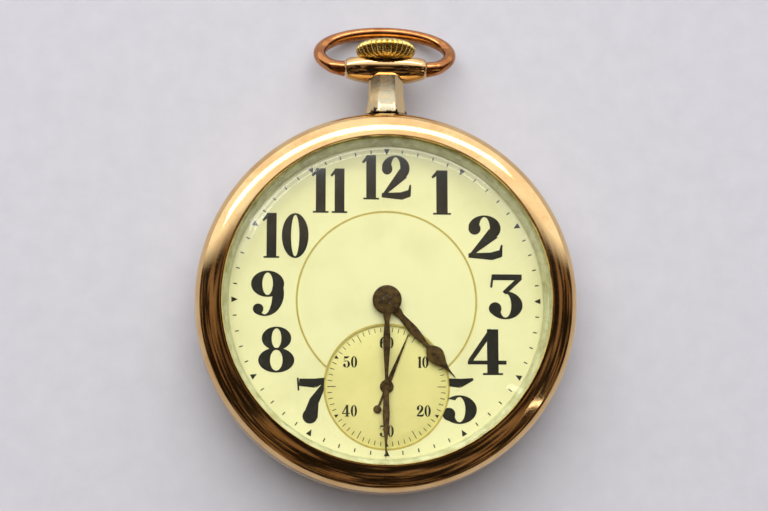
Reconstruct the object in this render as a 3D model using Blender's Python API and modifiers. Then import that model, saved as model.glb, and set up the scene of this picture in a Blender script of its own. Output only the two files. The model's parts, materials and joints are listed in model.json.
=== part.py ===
"""Open face pocket watch of the 16 size, with its whole movement.

The watch lies on its back. +Z is the dial's normal, +Y points from the centre to the crown and
+X to three o'clock. The origin is the middle of the flat of the case back, which is at Z = 0.
The wheels' teeth end just short of their pitch circles, so no wheel cuts into the next one.
"""
import bmesh
import bpy
from math import asin, atan2, cos, degrees, hypot, pi, radians, sin, sqrt

MM = 0.001
GAP = 0.05                     # clearance between neighbouring pieces, mm

# ---- driving dimensions, mm -------------------------------------------------------------------
CASE_R = 25.25                 # case centre, at its widest
MOVEMENT_R = 21.6              # 16 size: 43.2 mm across
GLASS_R = 22.0                 # opening of the bezel
DIAL_R = 21.2
BACK_FLAT_R = 13.0             # flat of the case back, on which the watch lies
STEM_Z = 6.35                  # height of the stem, the pendant and the bow's hinge

Z_BACK_TOP = 3.0               # where the back meets the case centre
Z_BAND_TOP = 8.95              # where the case centre meets the bezel
Z_BRIDGE = (2.2, 3.0)
Z_PLATE = (5.9, 7.5)
Z_DIAL = (8.4, 8.8)
Z_SUNK = (8.25, 8.6)           # the seconds dial
Z_HOUR_HAND = (9.15, 9.35)
Z_MINUTE_HAND = (9.7, 9.9)
Z_SECONDS_HAND = (8.8, 8.92)
Z_GLASS_TOP = 13.1
Z_WINDING = (3.15, 3.5)        # ratchet wheel, crown wheel and click, under the barrel bridge

NECK_Y = (25.05, 30.5)
HEAD_Y = 32.0                  # axis of the pendant's head and of the bow
HEAD_HALF = 5.47
CROWN_Y = (32.8, 35.6)
CROWN_R = 4.05
CROWN_RIDGES = 30
BOW_WIRE_R = 0.85
BOW_HALF = 8.95                # half of the bow's width, at the wire's middle
BOW_LENGTH = 8.6               # hinge to the middle of the bow's far bar
SLEEVE_R = (0.75, 1.2)
STEM_R = 0.6

# ---- train: tooth counts and modules -----------------------------------------------------------
SHORT = 0.04                   # how far a tooth ends short of its pitch circle
CENTRE = (0.0, 0.0)
FOURTH = (0.0, -11.3)          # under the seconds hand
M_BARREL, M_CENTRE, M_THIRD, M_FOURTH = 0.235, 0.19, 0.165, 0.14
T_BARREL, T_CENTRE_PINION = 78, 12
T_CENTRE, T_THIRD_PINION = 80, 10
T_THIRD, T_FOURTH_PINION = 75, 10
T_FOURTH, T_ESCAPE_PINION = 80, 8
T_CANNON, T_MINUTE, T_MINUTE_PINION, T_HOUR = 12, 36, 10, 40
T_SETTING, T_RATCHET, T_CROWN_WHEEL, T_WINDING = 30, 34, 32, 14
T_ESCAPE = 15
M_MINUTE, M_HOUR = 0.15, 0.144


def meeting(a, b, from_a, from_b, side):
    """The point at the two given distances from a and b, on one side of the line between them."""
    gap = hypot(b[0] - a[0], b[1] - a[1])
    along = (from_a ** 2 - from_b ** 2 + gap ** 2) / (2 * gap)
    off = side * sqrt(from_a ** 2 - along ** 2)
    ux, uy = (b[0] - a[0]) / gap, (b[1] - a[1]) / gap
    return (a[0] + along * ux - off * uy, a[1] + along * uy + off * ux)


def pitch(module, teeth):
    return module * teeth / 2


def polar(centre, radius, degrees):
    return (centre[0] + radius * cos(radians(degrees)), centre[1] + radius * sin(radians(degrees)))


BARREL = polar(CENTRE, pitch(M_BARREL, T_BARREL + T_CENTRE_PINION), 35)
THIRD = meeting(CENTRE, FOURTH, pitch(M_CENTRE, T_CENTRE + T_THIRD_PINION),
                pitch(M_THIRD, T_THIRD + T_FOURTH_PINION), -1)
ESCAPE = polar(FOURTH, pitch(M_FOURTH, T_FOURTH + T_ESCAPE_PINION), -25)
BALANCE = (11.2, -6.6)
BALANCE_R = 7.0
ESCAPE_R = 3.6
LEVER_ANGLE = atan2(BALANCE[1] - ESCAPE[1], BALANCE[0] - ESCAPE[0])
PALLET = (ESCAPE[0] + 4.15 * cos(LEVER_ANGLE), ESCAPE[1] + 4.15 * sin(LEVER_ANGLE))
FORK_LENGTH = hypot(BALANCE[0] - PALLET[0], BALANCE[1] - PALLET[1]) - 1.0
MINUTE = (0.0, pitch(M_MINUTE, T_CANNON + T_MINUTE))
SETTING = (0.0, MINUTE[1] + pitch(M_MINUTE, T_MINUTE + T_SETTING))
CROWN_WHEEL = (0.0, 12.9)
M_WINDING = 2 * hypot(CROWN_WHEEL[0] - BARREL[0], CROWN_WHEEL[1] - BARREL[1]) / (T_RATCHET + T_CROWN_WHEEL)
COCK_FOOT = (19.2, -0.4)
PALLET_FOOT = (12.4, -14.2)
CLICK = polar(BARREL, pitch(M_WINDING, T_RATCHET) + 2.6, 20)
BARREL_FEET = [(-17.0, 4.5), (-9.0, 16.5), (5.4, 18.6)]
TRAIN_FEET = [(-17.0, -5.0), (-7.5, -17.8), (1.3, -19.2)]
CASE_SCREWS = [(-20.5, -1.5), (-5.0, 20.0)]

METALS = {                     # colour, metallic, roughness
    "case gold": ((0.72, 0.45, 0.20), 1.0, 0.28),
    "crown gold": ((0.68, 0.49, 0.16), 1.0, 0.32),
    "pale gold": ((0.75, 0.56, 0.28), 1.0, 0.35),
    "copper gold": ((0.62, 0.32, 0.16), 1.0, 0.33),
    "glass": ((0.85, 0.90, 0.88), 0.0, 0.05),
    "enamel": ((0.66, 0.66, 0.40), 0.0, 0.30),
    "blued steel": ((0.07, 0.03, 0.02), 0.6, 0.45),
    "steel": ((0.55, 0.55, 0.57), 1.0, 0.30),
    "nickel": ((0.62, 0.60, 0.55), 1.0, 0.35),
    "brass": ((0.66, 0.48, 0.20), 1.0, 0.35),
}


# ---- scene and materials -----------------------------------------------------------------------
def clear_scene():
    for obj in list(bpy.data.objects):
        bpy.data.objects.remove(obj)


def collection(name):
    made = bpy.data.collections.new(name)
    bpy.context.scene.collection.children.link(made)
    return made


clear_scene()
WATCH = collection("pocket_watch")
CUTTERS = collection("cutters")


def paint(obj, finish):
    """Give a piece a material of its own in one of the finishes."""
    colour, metallic, roughness = METALS[finish]
    material = bpy.data.materials.new(f"{obj.name} {finish}")
    material.use_nodes = True
    shader = material.node_tree.nodes["Principled BSDF"]
    shader.inputs["Base Color"].default_value = (*colour, 1.0)
    shader.inputs["Metallic"].default_value = metallic
    shader.inputs["Roughness"].default_value = roughness
    obj.data.materials.clear()
    obj.data.materials.append(material)
    return obj


def place(obj, name, finish, at=(0, 0, 0), turn=(0, 0, 0)):
    """Name an object, put it where it belongs (mm and radians) and give it its finish."""
    for owner in list(obj.users_collection):
        owner.objects.unlink(obj)
    (WATCH if finish else CUTTERS).objects.link(obj)
    obj.name = name
    obj.location = [value * MM for value in at]
    obj.rotation_euler = turn
    if finish:
        return paint(obj, finish)
    obj.hide_render = True
    obj.display_type = "WIRE"
    return obj


def smooth(mesh):
    mesh.shade_smooth()
    mesh.set_sharp_from_angle(angle=radians(35))


# ---- ways of making a piece --------------------------------------------------------------------
ALONG_Y = (-pi / 2, 0, 0)      # turns a piece made along Z so that it runs along Y
ALONG_X = (0, pi / 2, 0)


def turned(name, finish, profile, at=(0, 0, 0), turn=(0, 0, 0), steps=32, ring=False):
    """Turn a profile of (radius, height) points about Z; a ring's profile closes on itself."""
    mesh = bpy.data.meshes.new(name)
    edges = [(i, i + 1) for i in range(len(profile) - 1)] + ([(len(profile) - 1, 0)] if ring else [])
    mesh.from_pydata([(r * MM, 0, z * MM) for r, z in profile], edges, [])
    obj = place(bpy.data.objects.new(name, mesh), name, finish, at, turn)
    screw = obj.modifiers.new("turn", "SCREW")
    screw.axis = "Z"
    screw.steps = screw.render_steps = steps
    screw.use_merge_vertices = True
    screw.merge_threshold = 0.000001
    screw.use_smooth_shade = True
    return obj


def disc(name, finish, radius, z0, z1, at=(0, 0), hole=0.0, steps=32):
    """A plain disc or washer between two heights."""
    if hole:
        profile = [(radius, z1), (radius, z0), (hole, z0), (hole, z1)]
    else:
        profile = [(0, z1), (radius, z1), (radius, z0), (0, z0)]
    return turned(name, finish, profile, (at[0], at[1], 0), steps=steps, ring=bool(hole))


def flat(name, finish, outlines, z0, z1, at=(0, 0), angle=0.0):
    """A flat piece between two heights: the first outline is its edge, the others are holes."""
    curve = bpy.data.curves.new(name, "CURVE")
    curve.dimensions = "2D"
    curve.fill_mode = "BOTH"
    curve.extrude = (z1 - z0) / 2 * MM
    for outline in outlines:
        spline = curve.splines.new("POLY")
        spline.points.add(len(outline) - 1)
        for point, (x, y) in zip(spline.points, outline):
            point.co = (x * MM, y * MM, 0, 1)
        spline.use_cyclic_u = True
    obj = bpy.data.objects.new(name, curve)
    return place(obj, name, finish, (at[0], at[1], (z0 + z1) / 2), (0, 0, angle))


def wire(name, finish, points, radius, at=(0, 0, 0), turn=(0, 0, 0), scales=None, sides=2):
    """A round wire through the points, thicker or thinner along its length where scales says so."""
    curve = bpy.data.curves.new(name, "CURVE")
    curve.dimensions = "3D"
    curve.bevel_depth = radius * MM
    curve.bevel_resolution = sides
    curve.use_fill_caps = True
    spline = curve.splines.new("POLY")
    spline.points.add(len(points) - 1)
    for i, (x, y, z) in enumerate(points):
        spline.points[i].co = (x * MM, y * MM, z * MM, 1)
        spline.points[i].radius = scales[i] if scales else 1.0
    return place(bpy.data.objects.new(name, curve), name, finish, at, turn)


def lofted(name, finish, rings, at=(0, 0, 0), turn=(0, 0, 0)):
    """A solid through unlike sections: rings of (height, radii at equal angles), bottom to top."""
    mesh = bpy.data.meshes.new(name)
    made = bmesh.new()
    rows = []
    for height, radii in rings:
        count = len(radii)
        rows.append([made.verts.new((r * MM * cos(2 * pi * k / count), r * MM * sin(2 * pi * k / count),
                                     height * MM)) for k, r in enumerate(radii)])
    for low, high in zip(rows, rows[1:]):
        for k in range(len(low)):
            n = (k + 1) % len(low)
            made.faces.new((low[k], low[n], high[n], high[k]))
    made.faces.new(list(reversed(rows[0])))
    made.faces.new(rows[-1])
    made.to_mesh(mesh)
    made.free()
    smooth(mesh)
    return place(bpy.data.objects.new(name, mesh), name, finish, at, turn)


def to_mesh(obj):
    """Replace a curve by its closed mesh, so that it can be cut or joined."""
    if obj.type == "MESH":
        return obj
    bpy.context.view_layer.update()
    mesh = bpy.data.meshes.new_from_object(obj.evaluated_get(bpy.context.evaluated_depsgraph_get()))
    made = bmesh.new()
    made.from_mesh(mesh)
    bmesh.ops.remove_doubles(made, verts=made.verts, dist=0.000001)
    made.to_mesh(mesh)
    made.free()
    solid = bpy.data.objects.new(obj.name + " mesh", mesh)
    obj.users_collection[0].objects.link(solid)
    solid.matrix_world = obj.matrix_world
    solid.hide_render, solid.display_type = obj.hide_render, obj.display_type
    name = obj.name
    bpy.data.objects.remove(obj)
    solid.name = name
    return solid


def combine(obj, tools, operation):
    for tool in tools:
        boolean = obj.modifiers.new(tool.name, "BOOLEAN")
        boolean.operation = operation
        boolean.object = to_mesh(tool)
    return obj


def cut(obj, *tools):
    return combine(to_mesh(obj), tools, "DIFFERENCE")


def join(obj, *tools):
    return combine(to_mesh(obj), tools, "UNION")


def peg(name, x, y, radius, z0, z1, steps=8):
    """A round cutter or boss, along Z."""
    return disc(name, None, radius, z0, z1, (x, y), steps=steps)


# ---- outlines ----------------------------------------------------------------------------------
def circle(radius, points=16, centre=(0, 0)):
    return [polar(centre, radius, 360 * k / points) for k in range(points)]


def teeth_outline(teeth, tip, root, land=0.0):
    """Tooth tips and roots; land is the share of a tooth's pitch taken by its flat tip."""
    outline = []
    for k in range(teeth):
        step = 360 / teeth
        if land:
            outline += [polar((0, 0), tip, (k - land / 2) * step), polar((0, 0), tip, (k + land / 2) * step)]
            outline += [polar((0, 0), root, (k + 0.5 - land / 4) * step),
                        polar((0, 0), root, (k + 0.5 + land / 4) * step)]
        else:
            outline += [polar((0, 0), tip, k * step), polar((0, 0), root, (k + 0.5) * step)]
    return outline


def windows(inner, outer, count, spoke):
    """The openings between a wheel's spokes, each with an arc inside and outside."""
    made = []
    for k in range(count):
        middle = 360 / count * (k + 0.5)
        half_out = 180 / count - degrees(asin(spoke / 2 / outer))
        half_in = 180 / count - degrees(asin(spoke / 2 / inner))
        made.append([polar((0, 0), outer, middle + half_out * f) for f in (-1, -0.33, 0.33, 1)]
                    + [polar((0, 0), inner, middle + half_in * f) for f in (1, -1)])
    return made


def capsule(a, b, ra, rb, points=7):
    """A bar's outline with a round end at a and at b."""
    along = degrees(atan2(b[1] - a[1], b[0] - a[0]))
    return ([polar(b, rb, along - 90 + 180 * k / points) for k in range(points + 1)]
            + [polar(a, ra, along + 90 + 180 * k / points) for k in range(points + 1)])


def wheel(name, finish, module, teeth, z0, z1, at, bore, spokes=4, land=0.0):
    """A train wheel with spokes and a bore."""
    tip = pitch(module, teeth) - SHORT
    root = tip - 1.9 * module
    outlines = [teeth_outline(teeth, tip, root, land), circle(bore, 8)]
    if spokes:
        rim = root - 2.2 * module
        outlines += windows(max(bore + 0.5, rim * 0.22), rim, spokes, rim * 0.16)
    return flat(name, finish, outlines, z0, z1, at)


def leafed(name, at, module, teeth, leaves, body, finish="steel"):
    """An arbor along Z with pinion leaves between two heights; body lists (height, radius)."""
    tip = pitch(module, teeth) - SHORT
    low, high = leaves
    rings = []
    for height, radius in [b for b in body if b[0] <= low]:
        rings.append((height, [radius] * (2 * teeth)))
    rings += [(z, [tip, tip - 1.5 * module] * teeth) for z in (low + 0.01, high - 0.01)]
    for height, radius in [b for b in body if b[0] >= high]:
        rings.append((height, [radius] * (2 * teeth)))
    return lofted(name, finish, rings, (at[0], at[1], 0))


def screw(name, at, head_r, head, shank_r, end, finish="steel"):
    """A screw whose head is between two heights and whose shank runs up to end."""
    profile = [(0, end), (shank_r, end), (shank_r, head[1]), (head_r, head[1]), (head_r, head[0]), (0, head[0])]
    made = turned(name, finish, profile, (at[0], at[1], 0), steps=10)
    slot = flat(name + " slot", None, [[(-2 * head_r, -0.12), (2 * head_r, -0.12), (2 * head_r, 0.12),
                                        (-2 * head_r, 0.12)]], head[0] - 0.3, head[0] + 0.18, at, 0.6)
    return cut(made, slot)


# ---- case --------------------------------------------------------------------------------------
def case_back():
    """The screw back: a flat for resting, a bulge up to the rim, and a wall 0.5 mm thick."""
    rim = CASE_R - 0.6
    bulge = [(BACK_FLAT_R + (rim - BACK_FLAT_R) * sin(t), 2.9 * (1 - cos(t)))
             for t in (radians(a) for a in (90, 65, 42, 20, 0))]
    inside = [(r - 0.45, z + 0.5) for r, z in reversed(bulge[1:])]
    profile = [(0, 0.5)] + inside + [(rim - 0.6, Z_BACK_TOP), (rim, Z_BACK_TOP)] + bulge + [(0, 0)]
    turned("case_back", "case gold", profile, steps=40)


def case_centre():
    """The band, grooved inside for the case screws, with a flat seat under the pendant."""
    bottom, top = Z_BACK_TOP + GAP, Z_BAND_TOP
    inner = MOVEMENT_R + 0.15
    outside = [(CASE_R - 0.6, top), (CASE_R - 0.1, top - 0.7), (CASE_R, 6.0), (CASE_R - 0.55, bottom)]
    groove = [(inner, 5.2), (inner + 0.8, 5.2), (inner + 0.8, 5.88), (inner, 5.88)]
    profile = outside + [(inner, bottom)] + groove + [(inner, top)]
    band = turned("case_centre", "case gold", profile, steps=40, ring=True)
    bore = disc("pendant bore", None, 1.45, 20, 28, steps=20)
    place(bore, "pendant bore", None, (0, 0, STEM_Z), ALONG_Y)
    seat = disc("neck seat", None, 3.4, 25.0, 28, steps=24)
    place(seat, "neck seat", None, (0, 0, STEM_Z), ALONG_Y)
    cut(band, seat, bore)


def bezel():
    """A wide half-round ring that holds the glass, with a sloping wall down to the dial."""
    foot = Z_BAND_TOP + GAP
    crest, half = 23.5, 1.35
    crown = [(crest + half * sin(t), 10.65 + half * cos(t)) for t in map(radians, (-60, -25, 10, 50, 90))]
    profile = crown + [(crest + half - 0.3, foot), (21.15, foot), (21.7, 10.4), (22.5, 10.45), (22.5, 11.2),
                       (GLASS_R, 11.22)]
    turned("bezel", "case gold", profile, steps=40, ring=True)


def crystal():
    """A low domed glass 0.7 mm thick, its edge in the bezel's groove."""
    edge = GLASS_R - 0.15
    sag = Z_GLASS_TOP - 11.15
    sphere = (edge ** 2 + sag ** 2) / (2 * sag)
    radii = [0, 8, 16, edge]
    dome = [(r, Z_GLASS_TOP - sphere + sqrt(sphere ** 2 - r ** 2)) for r in radii]
    inside = [(r * 0.985, z - 0.65) for r, z in reversed(dome)]
    turned("crystal", "glass", dome + [(22.4, 11.12), (22.4, 10.52)] + inside, steps=32)


def pendant():
    """An eight-sided neck under a barrel-shaped head, bored for the stem and for the bow's ends."""
    flare = [(NECK_Y[0], 3.15), (NECK_Y[0] + 0.35, 3.15), (NECK_Y[0] + 0.9, 2.75), (NECK_Y[1] - 1.6, 2.4),
             (NECK_Y[1], 2.4)]
    neck = lofted("neck", None, [(y, [r] * 8) for y, r in flare], (0, 0, STEM_Z), (-pi / 2, pi / 8, 0))
    barrel = [(0, HEAD_HALF), (1.1, HEAD_HALF), (1.3, HEAD_HALF - 0.15), (1.7, 4.5), (1.95, 3.3), (2.1, 1.5),
              (2.1, -1.5), (1.95, -3.3), (1.7, -4.5), (1.3, 0.15 - HEAD_HALF), (1.1, -HEAD_HALF), (0, -HEAD_HALF)]
    head = turned("pendant", "pale gold", barrel, (0, HEAD_Y, STEM_Z), ALONG_X, steps=20)
    join(head, neck)
    saddle_r = 8.2
    bpy.ops.mesh.primitive_uv_sphere_add(segments=16, ring_count=20, radius=saddle_r * MM)
    saddle = place(bpy.context.object, "saddle", None, (0, HEAD_Y + 0.4 + saddle_r, STEM_Z), ALONG_Y)
    bore = disc("stem bore", None, SLEEVE_R[1] + GAP, NECK_Y[0] - 1, NECK_Y[1] + 4, steps=16)
    place(bore, "stem bore", None, (0, 0, STEM_Z), ALONG_Y)
    sockets = []
    for side in (-1, 1):
        socket = disc(f"bow socket {side}", None, 0.65, 3.9, 6.5, steps=10)
        sockets.append(place(socket, socket.name, None, (0, HEAD_Y, STEM_Z), (0, side * pi / 2, 0)))
    cut(head, saddle, bore, *sockets)


def pendant_sleeve():
    inner, outer = SLEEVE_R
    profile = [(outer, 32.2), (outer, 22.0), (inner, 22.0), (inner, 32.2)]
    turned("pendant_sleeve", "steel", profile, (0, 0, STEM_Z), ALONG_Y, steps=16, ring=True)


def crown():
    """The winding crown: thirty round ridges that narrow towards the case."""
    low, high = CROWN_Y
    shape = [(low, 2.0, 0.0), (low + 0.75, 3.45, 0.14), (low + 1.85, CROWN_R, 0.24), (low + 2.5, 3.6, 0.1),
             (high, 2.6, 0.0)]
    rings = [(y, [r, r - depth] * CROWN_RIDGES) for y, r, depth in shape]
    body = lofted("crown", "crown gold", rings, (0, 0, STEM_Z), ALONG_Y)
    hole = disc("crown hole", None, STEM_R + GAP, low - 1, high - 0.9, steps=16)
    place(hole, "crown hole", None, (0, 0, STEM_Z), ALONG_Y)
    cut(body, hole)


def stem():
    """The winding stem: square where the clutch and the winding pinion slide, round above."""
    square = [0.62, 0.45] * 4
    rings = [(11.9, square), (18.0, square), (18.05, [STEM_R] * 8), (CROWN_Y[1] - 1.0, [STEM_R] * 8)]
    lofted("stem", "steel", rings, (0, 0, STEM_Z), ALONG_Y)


def bow():
    """A bent wire: pins in the head, a cone beside each, and an oval ring that leans on the table."""
    centre_y = 3.5
    half_y = BOW_LENGTH - centre_y
    start = asin(-centre_y / half_y * 0.92)
    count = 22
    arc = [start + (pi - 2 * start) * k / count for k in range(count + 1)]
    ring = [(BOW_HALF * cos(t), centre_y + half_y * sin(t), 0) for t in arc]
    pin = [(4.4, 0, 0), (5.56, 0, 0), (5.6, 0, 0), (5.85, 0.0, 0)]
    scale = [0.58, 0.58, 1.5, 1.35]
    points = pin + ring + [(-x, y, z) for x, y, z in reversed(pin)]
    scales = scale + [1.05] + [1.0] * (count - 1) + [1.05] + scale[::-1]
    lean = asin((STEM_Z - BOW_WIRE_R - GAP) / BOW_LENGTH)
    hinge = bpy.data.objects.new("bow hinge", None)
    WATCH.objects.link(hinge)
    hinge.location = (0, HEAD_Y * MM, STEM_Z * MM)
    hinge.rotation_euler = (-lean, 0, 0)
    made = wire("bow", "copper gold", points, BOW_WIRE_R, scales=scales)
    made.parent = hinge


# ---- plates and bridges ------------------------------------------------------------------------
def main_plate():
    """The pillar plate, with its pivot holes, the slot for the winding work and two studs."""
    low, high = Z_PLATE
    plate = disc("main_plate", "brass", MOVEMENT_R, low, high, steps=36)
    join(plate, peg("minute stud", *MINUTE, 0.3, high - 0.3, 8.15),
         peg("setting stud", *SETTING, 0.5, high - 0.3, 8.0))
    pivots = ((CENTRE, 0.45), (FOURTH, 0.35), (THIRD, 0.3), (ESCAPE, 0.3), (PALLET, 0.3), (BALANCE, 0.3),
              (BARREL, 0.95))
    holes = [peg(f"pivot hole {k}", *at, radius, 5, 8) for k, (at, radius) in enumerate(pivots)]
    for k, (x, y) in enumerate(CASE_SCREWS + BARREL_FEET + TRAIN_FEET[:1] + [COCK_FOOT, PALLET_FOOT]):
        holes.append(peg(f"screw hole {k}", x, y, 0.4, 5, 7.2))
    half = 2.2
    slot = flat("keyless slot", None, [[(-half, 11.2), (half, 11.2), (half, 23), (-half, 23)]], low - 1, high + 1)
    cut(plate, slot, *holes)


def bridge(name, feet, outline, holes):
    """A flat bridge over one sector of the movement, on round feet that reach the main plate."""
    low, high = Z_BRIDGE
    made = to_mesh(flat(name, "nickel", [outline], low, high))
    join(made, *[peg(f"{name} foot {k}", x, y, 1.2, high - 0.3, Z_PLATE[0] - 0.02)
                 for k, (x, y) in enumerate(feet)])
    cut(made, *[peg(f"{name} hole {k}", x, y, r, low - 1, high + 4) for k, (x, y, r) in enumerate(holes)])
    return made


def sector(start, end, radius=20.8, points=16):
    return [polar(CENTRE, radius, start + (end - start) * k / points) for k in range(points + 1)]


def bridges():
    """The barrel bridge over the upper half, the train bridge at the lower left."""
    clear = BALANCE_R + 0.45
    upper = sector(8, 176) + [(0, -1.4)]
    lower = sector(180, 300)
    barrel = bridge("barrel_bridge", BARREL_FEET, upper,
                    [(*BARREL, 0.95), (*CENTRE, 0.35), (*CROWN_WHEEL, 0.9), (*CLICK, 0.4),
                     *[(x, y, 0.4) for x, y in BARREL_FEET[:2]]])
    foot_room = flat("foot room", None, [capsule(COCK_FOOT, BALANCE, 2.2, 2.5)], 1, 6)
    cut(barrel, foot_room, peg("balance room", *BALANCE, clear, 1, 6, steps=24))
    train = bridge("train_bridge", TRAIN_FEET, lower + [(4.0, -6.0), (1.5, -1.9), (-2.0, -1.9)],
                   [(*THIRD, 0.3), (*FOURTH, 0.3), (*ESCAPE, 0.3), (*TRAIN_FEET[0], 0.4)])
    cut(train, peg("balance room 2", *BALANCE, clear, 1, 6, steps=24))


def small_bridges():
    """The balance cock and the pallet bridge: each an arm on one foot."""
    cock = to_mesh(flat("balance_cock", "nickel", [capsule(COCK_FOOT, BALANCE, 1.8, 2.1)], 1.6, 2.1))
    join(cock, peg("cock foot", *COCK_FOOT, 1.8, 1.8, Z_PLATE[0] - 0.02, 16))
    cut(cock, peg("cock hole", *BALANCE, 0.25, 0, 3), peg("cock screw hole", *COCK_FOOT, 0.4, 0, 7))
    arm = to_mesh(flat("pallet_bridge", "nickel", [capsule(PALLET_FOOT, PALLET, 1.1, 0.8)], 4.0, 4.5))
    join(arm, peg("pallet foot", *PALLET_FOOT, 1.1, 4.2, Z_PLATE[0] - 0.02, 10))
    cut(arm, peg("pallet pivot", *PALLET, 0.25, 3, 5), peg("pallet screw hole", *PALLET_FOOT, 0.4, 3, 7))


def screws():
    head = (1.75, Z_BRIDGE[0] - 0.02)
    screw("barrel_bridge_screw_left", BARREL_FEET[0], 0.9, head, 0.32, 7.0)
    screw("barrel_bridge_screw_top", BARREL_FEET[1], 0.9, head, 0.32, 7.0)
    screw("train_bridge_screw", TRAIN_FEET[0], 0.9, head, 0.32, 7.0)
    screw("balance_cock_screw", COCK_FOOT, 0.9, (1.3, 1.58), 0.32, 7.0)
    screw("pallet_bridge_screw", PALLET_FOOT, 0.75, (3.55, 3.98), 0.32, 7.0)
    for name, at in zip(("case_screw_left", "case_screw_top"), CASE_SCREWS):
        screw(name, at, 1.15, (5.32, 5.82), 0.32, 7.0, "blued steel")


# ---- dial and hands ----------------------------------------------------------------------------
def dials():
    low, high = Z_DIAL
    dial = disc("dial", "enamel", DIAL_R, low, high, steps=40)
    cut(dial, peg("dial hole", *CENTRE, 1.35, 8, 9, 16), peg("seconds opening", *FOURTH, 8.3, 8, 9, 28))
    disc("seconds_dial", "enamel", 8.1, *Z_SUNK, FOURTH, hole=0.45, steps=28)


def hand(name, outline, z, at, degrees_from_twelve, hub):
    """A flat hand drawn pointing to +Y, with its hub's hole, turned clockwise."""
    return flat(name, "blued steel", [outline, circle(hub, 12)], *z, at, -radians(degrees_from_twelve))


def mirrored(side):
    """An outline from its right-hand half, (half width, height) from bottom to top."""
    return [(x, y) for x, y in side] + [(-x, y) for x, y in reversed(side) if x > 0]


def hands():
    hub = [polar((0, 0), 1.9, a) for a in (-90, -60, -30, 0, 30, 60)]
    minute = mirrored(hub + [(0.55, 2.3), (0.3, 2.9), (0.42, 4.4), (0.5, 5.6), (0.4, 7.0), (0.2, 10.2),
                             (0.35, 12.6), (0.47, 15.2), (0.36, 17.0), (0.14, 19.3), (0.05, 21.3)])
    hand("minute_hand", minute, Z_MINUTE_HAND, CENTRE, 180.5, 0.66)
    hour = mirrored(hub + [(0.7, 2.2), (0.42, 2.9), (0.55, 4.2), (0.62, 5.2), (0.45, 6.8), (0.3, 8.1), (0.7, 8.5),
                           (1.05, 9.2), (1.1, 9.8), (0.75, 10.7), (0.3, 11.6), (0.14, 12.4), (0.05, 13.5)])
    hand("hour_hand", hour, Z_HOUR_HAND, CENTRE, 138.6, 1.04)
    ball = [polar((0, -3.2), 0.53, a) for a in (-90, -45, 0, 45, 70)]
    seconds = mirrored(ball + [(0.13, -2.4), (0.2, -1.0)] + [polar((0, 0), 0.9, a) for a in (-60, -25, 0, 25, 60)]
                       + [(0.24, 1.1), (0.04, 7.5)])
    hand("seconds_hand", seconds, Z_SECONDS_HAND, FOURTH, 22.5, 0.22)


# ---- movement ----------------------------------------------------------------------------------
def barrel():
    """The mainspring's drum: an open cup with a toothed rim, its cover, spring and arbor."""
    drum = turned("barrel", "brass", [(8.7, 4.6), (8.7, 5.8), (1.3, 5.8), (1.3, 5.55), (8.1, 5.55), (8.1, 4.6)],
                  (*BARREL, 0), steps=20, ring=True)
    tip = pitch(M_BARREL, T_BARREL) - SHORT
    join(drum, flat("barrel teeth", None, [teeth_outline(T_BARREL, tip, tip - 0.4), circle(8.2, 20)], 5.3, 5.78,
                    BARREL))
    disc("barrel_cover", "brass", 8.6, 4.36, 4.55, BARREL, hole=1.3, steps=20)
    turns, inner, outer, thick = 5, 1.35, 7.6, 0.22
    along = [k / (turns * 11) for k in range(turns * 11 + 1)]
    outside = [polar((0, 0), inner + thick + (outer - inner - thick) * t, 360 * turns * t) for t in along]
    inside = [polar((0, 0), inner + (outer - inner - thick) * t, 360 * turns * t) for t in along]
    flat("mainspring", "steel", [outside + inside[::-1]], 4.65, 5.45, BARREL)
    profile = [(0, 7.2), (0.85, 7.2), (0.85, 5.85), (1.2, 5.85), (1.2, 3.55), (0.85, 3.55), (0.85, 2.3), (0, 2.3)]
    turned("barrel_arbor", "steel", profile, (*BARREL, 0), steps=12)


def winding_work():
    """Ratchet and crown wheels under the barrel bridge, click, winding pinion, clutch and lever."""
    wheel("ratchet_wheel", "steel", M_WINDING, T_RATCHET, *Z_WINDING, BARREL, 0.98, spokes=0)
    pinion_r = Z_DIAL[0] - 0.08 - STEM_Z
    tip = pitch(M_WINDING, T_CROWN_WHEEL) - SHORT
    body = wheel("crown_wheel", "steel", M_WINDING, T_CROWN_WHEEL, *Z_WINDING, CROWN_WHEEL, 0.95, spokes=0)
    join(to_mesh(body), disc("contrate rim", None, tip - 0.6, 3.4, STEM_Z - pinion_r - 0.06, CROWN_WHEEL, hole=tip - 1.3,
                    steps=T_CROWN_WHEEL))
    screw("crown_wheel_screw", CROWN_WHEEL, 1.0, (1.75, Z_BRIDGE[0] - 0.02), 0.82, 3.6)
    for name, low, high, tip, teeth in (("winding_pinion", 16.0, 17.8, pinion_r, T_WINDING),
                                        ("clutch_wheel", 13.0, 15.8, 1.3, 12)):
        outlines = [teeth_outline(teeth, tip, tip - 0.3, 0.4), circle(STEM_R + GAP, 12)]
        shape = flat(name, "steel", outlines, low, high)
        place(shape, name, "steel", (0, (low + high) / 2, STEM_Z), ALONG_Y)
    nose = polar(BARREL, pitch(M_WINDING, T_RATCHET) + 0.35, 44)
    outline = [(x - CLICK[0], y - CLICK[1]) for x, y in capsule(CLICK, nose, 0.9, 0.25, 6)]
    click = flat("click", "steel", [outline, circle(0.42, 10)], *Z_WINDING, CLICK)
    click.location.z = 3.33 * MM
    spring = [polar(CLICK, 1.3 + 0.04 * k, 70 - 22 * k) for k in range(9)]
    wire("click_spring", "steel", [(x, y, 3.3) for x, y in spring], 0.11)
    lever = [(x - 3.6, y - 13.6) for x, y in capsule((3.6, 13.6), (6.8, 17.0), 0.75, 0.45, 6)]
    flat("setting_lever", "steel", [lever, circle(0.3, 10)], 7.6, 7.95, (3.6, 13.6))
    wheel("setting_wheel", "steel", M_MINUTE, T_SETTING, 7.6, 7.85, SETTING, 0.55, spokes=0)


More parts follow.
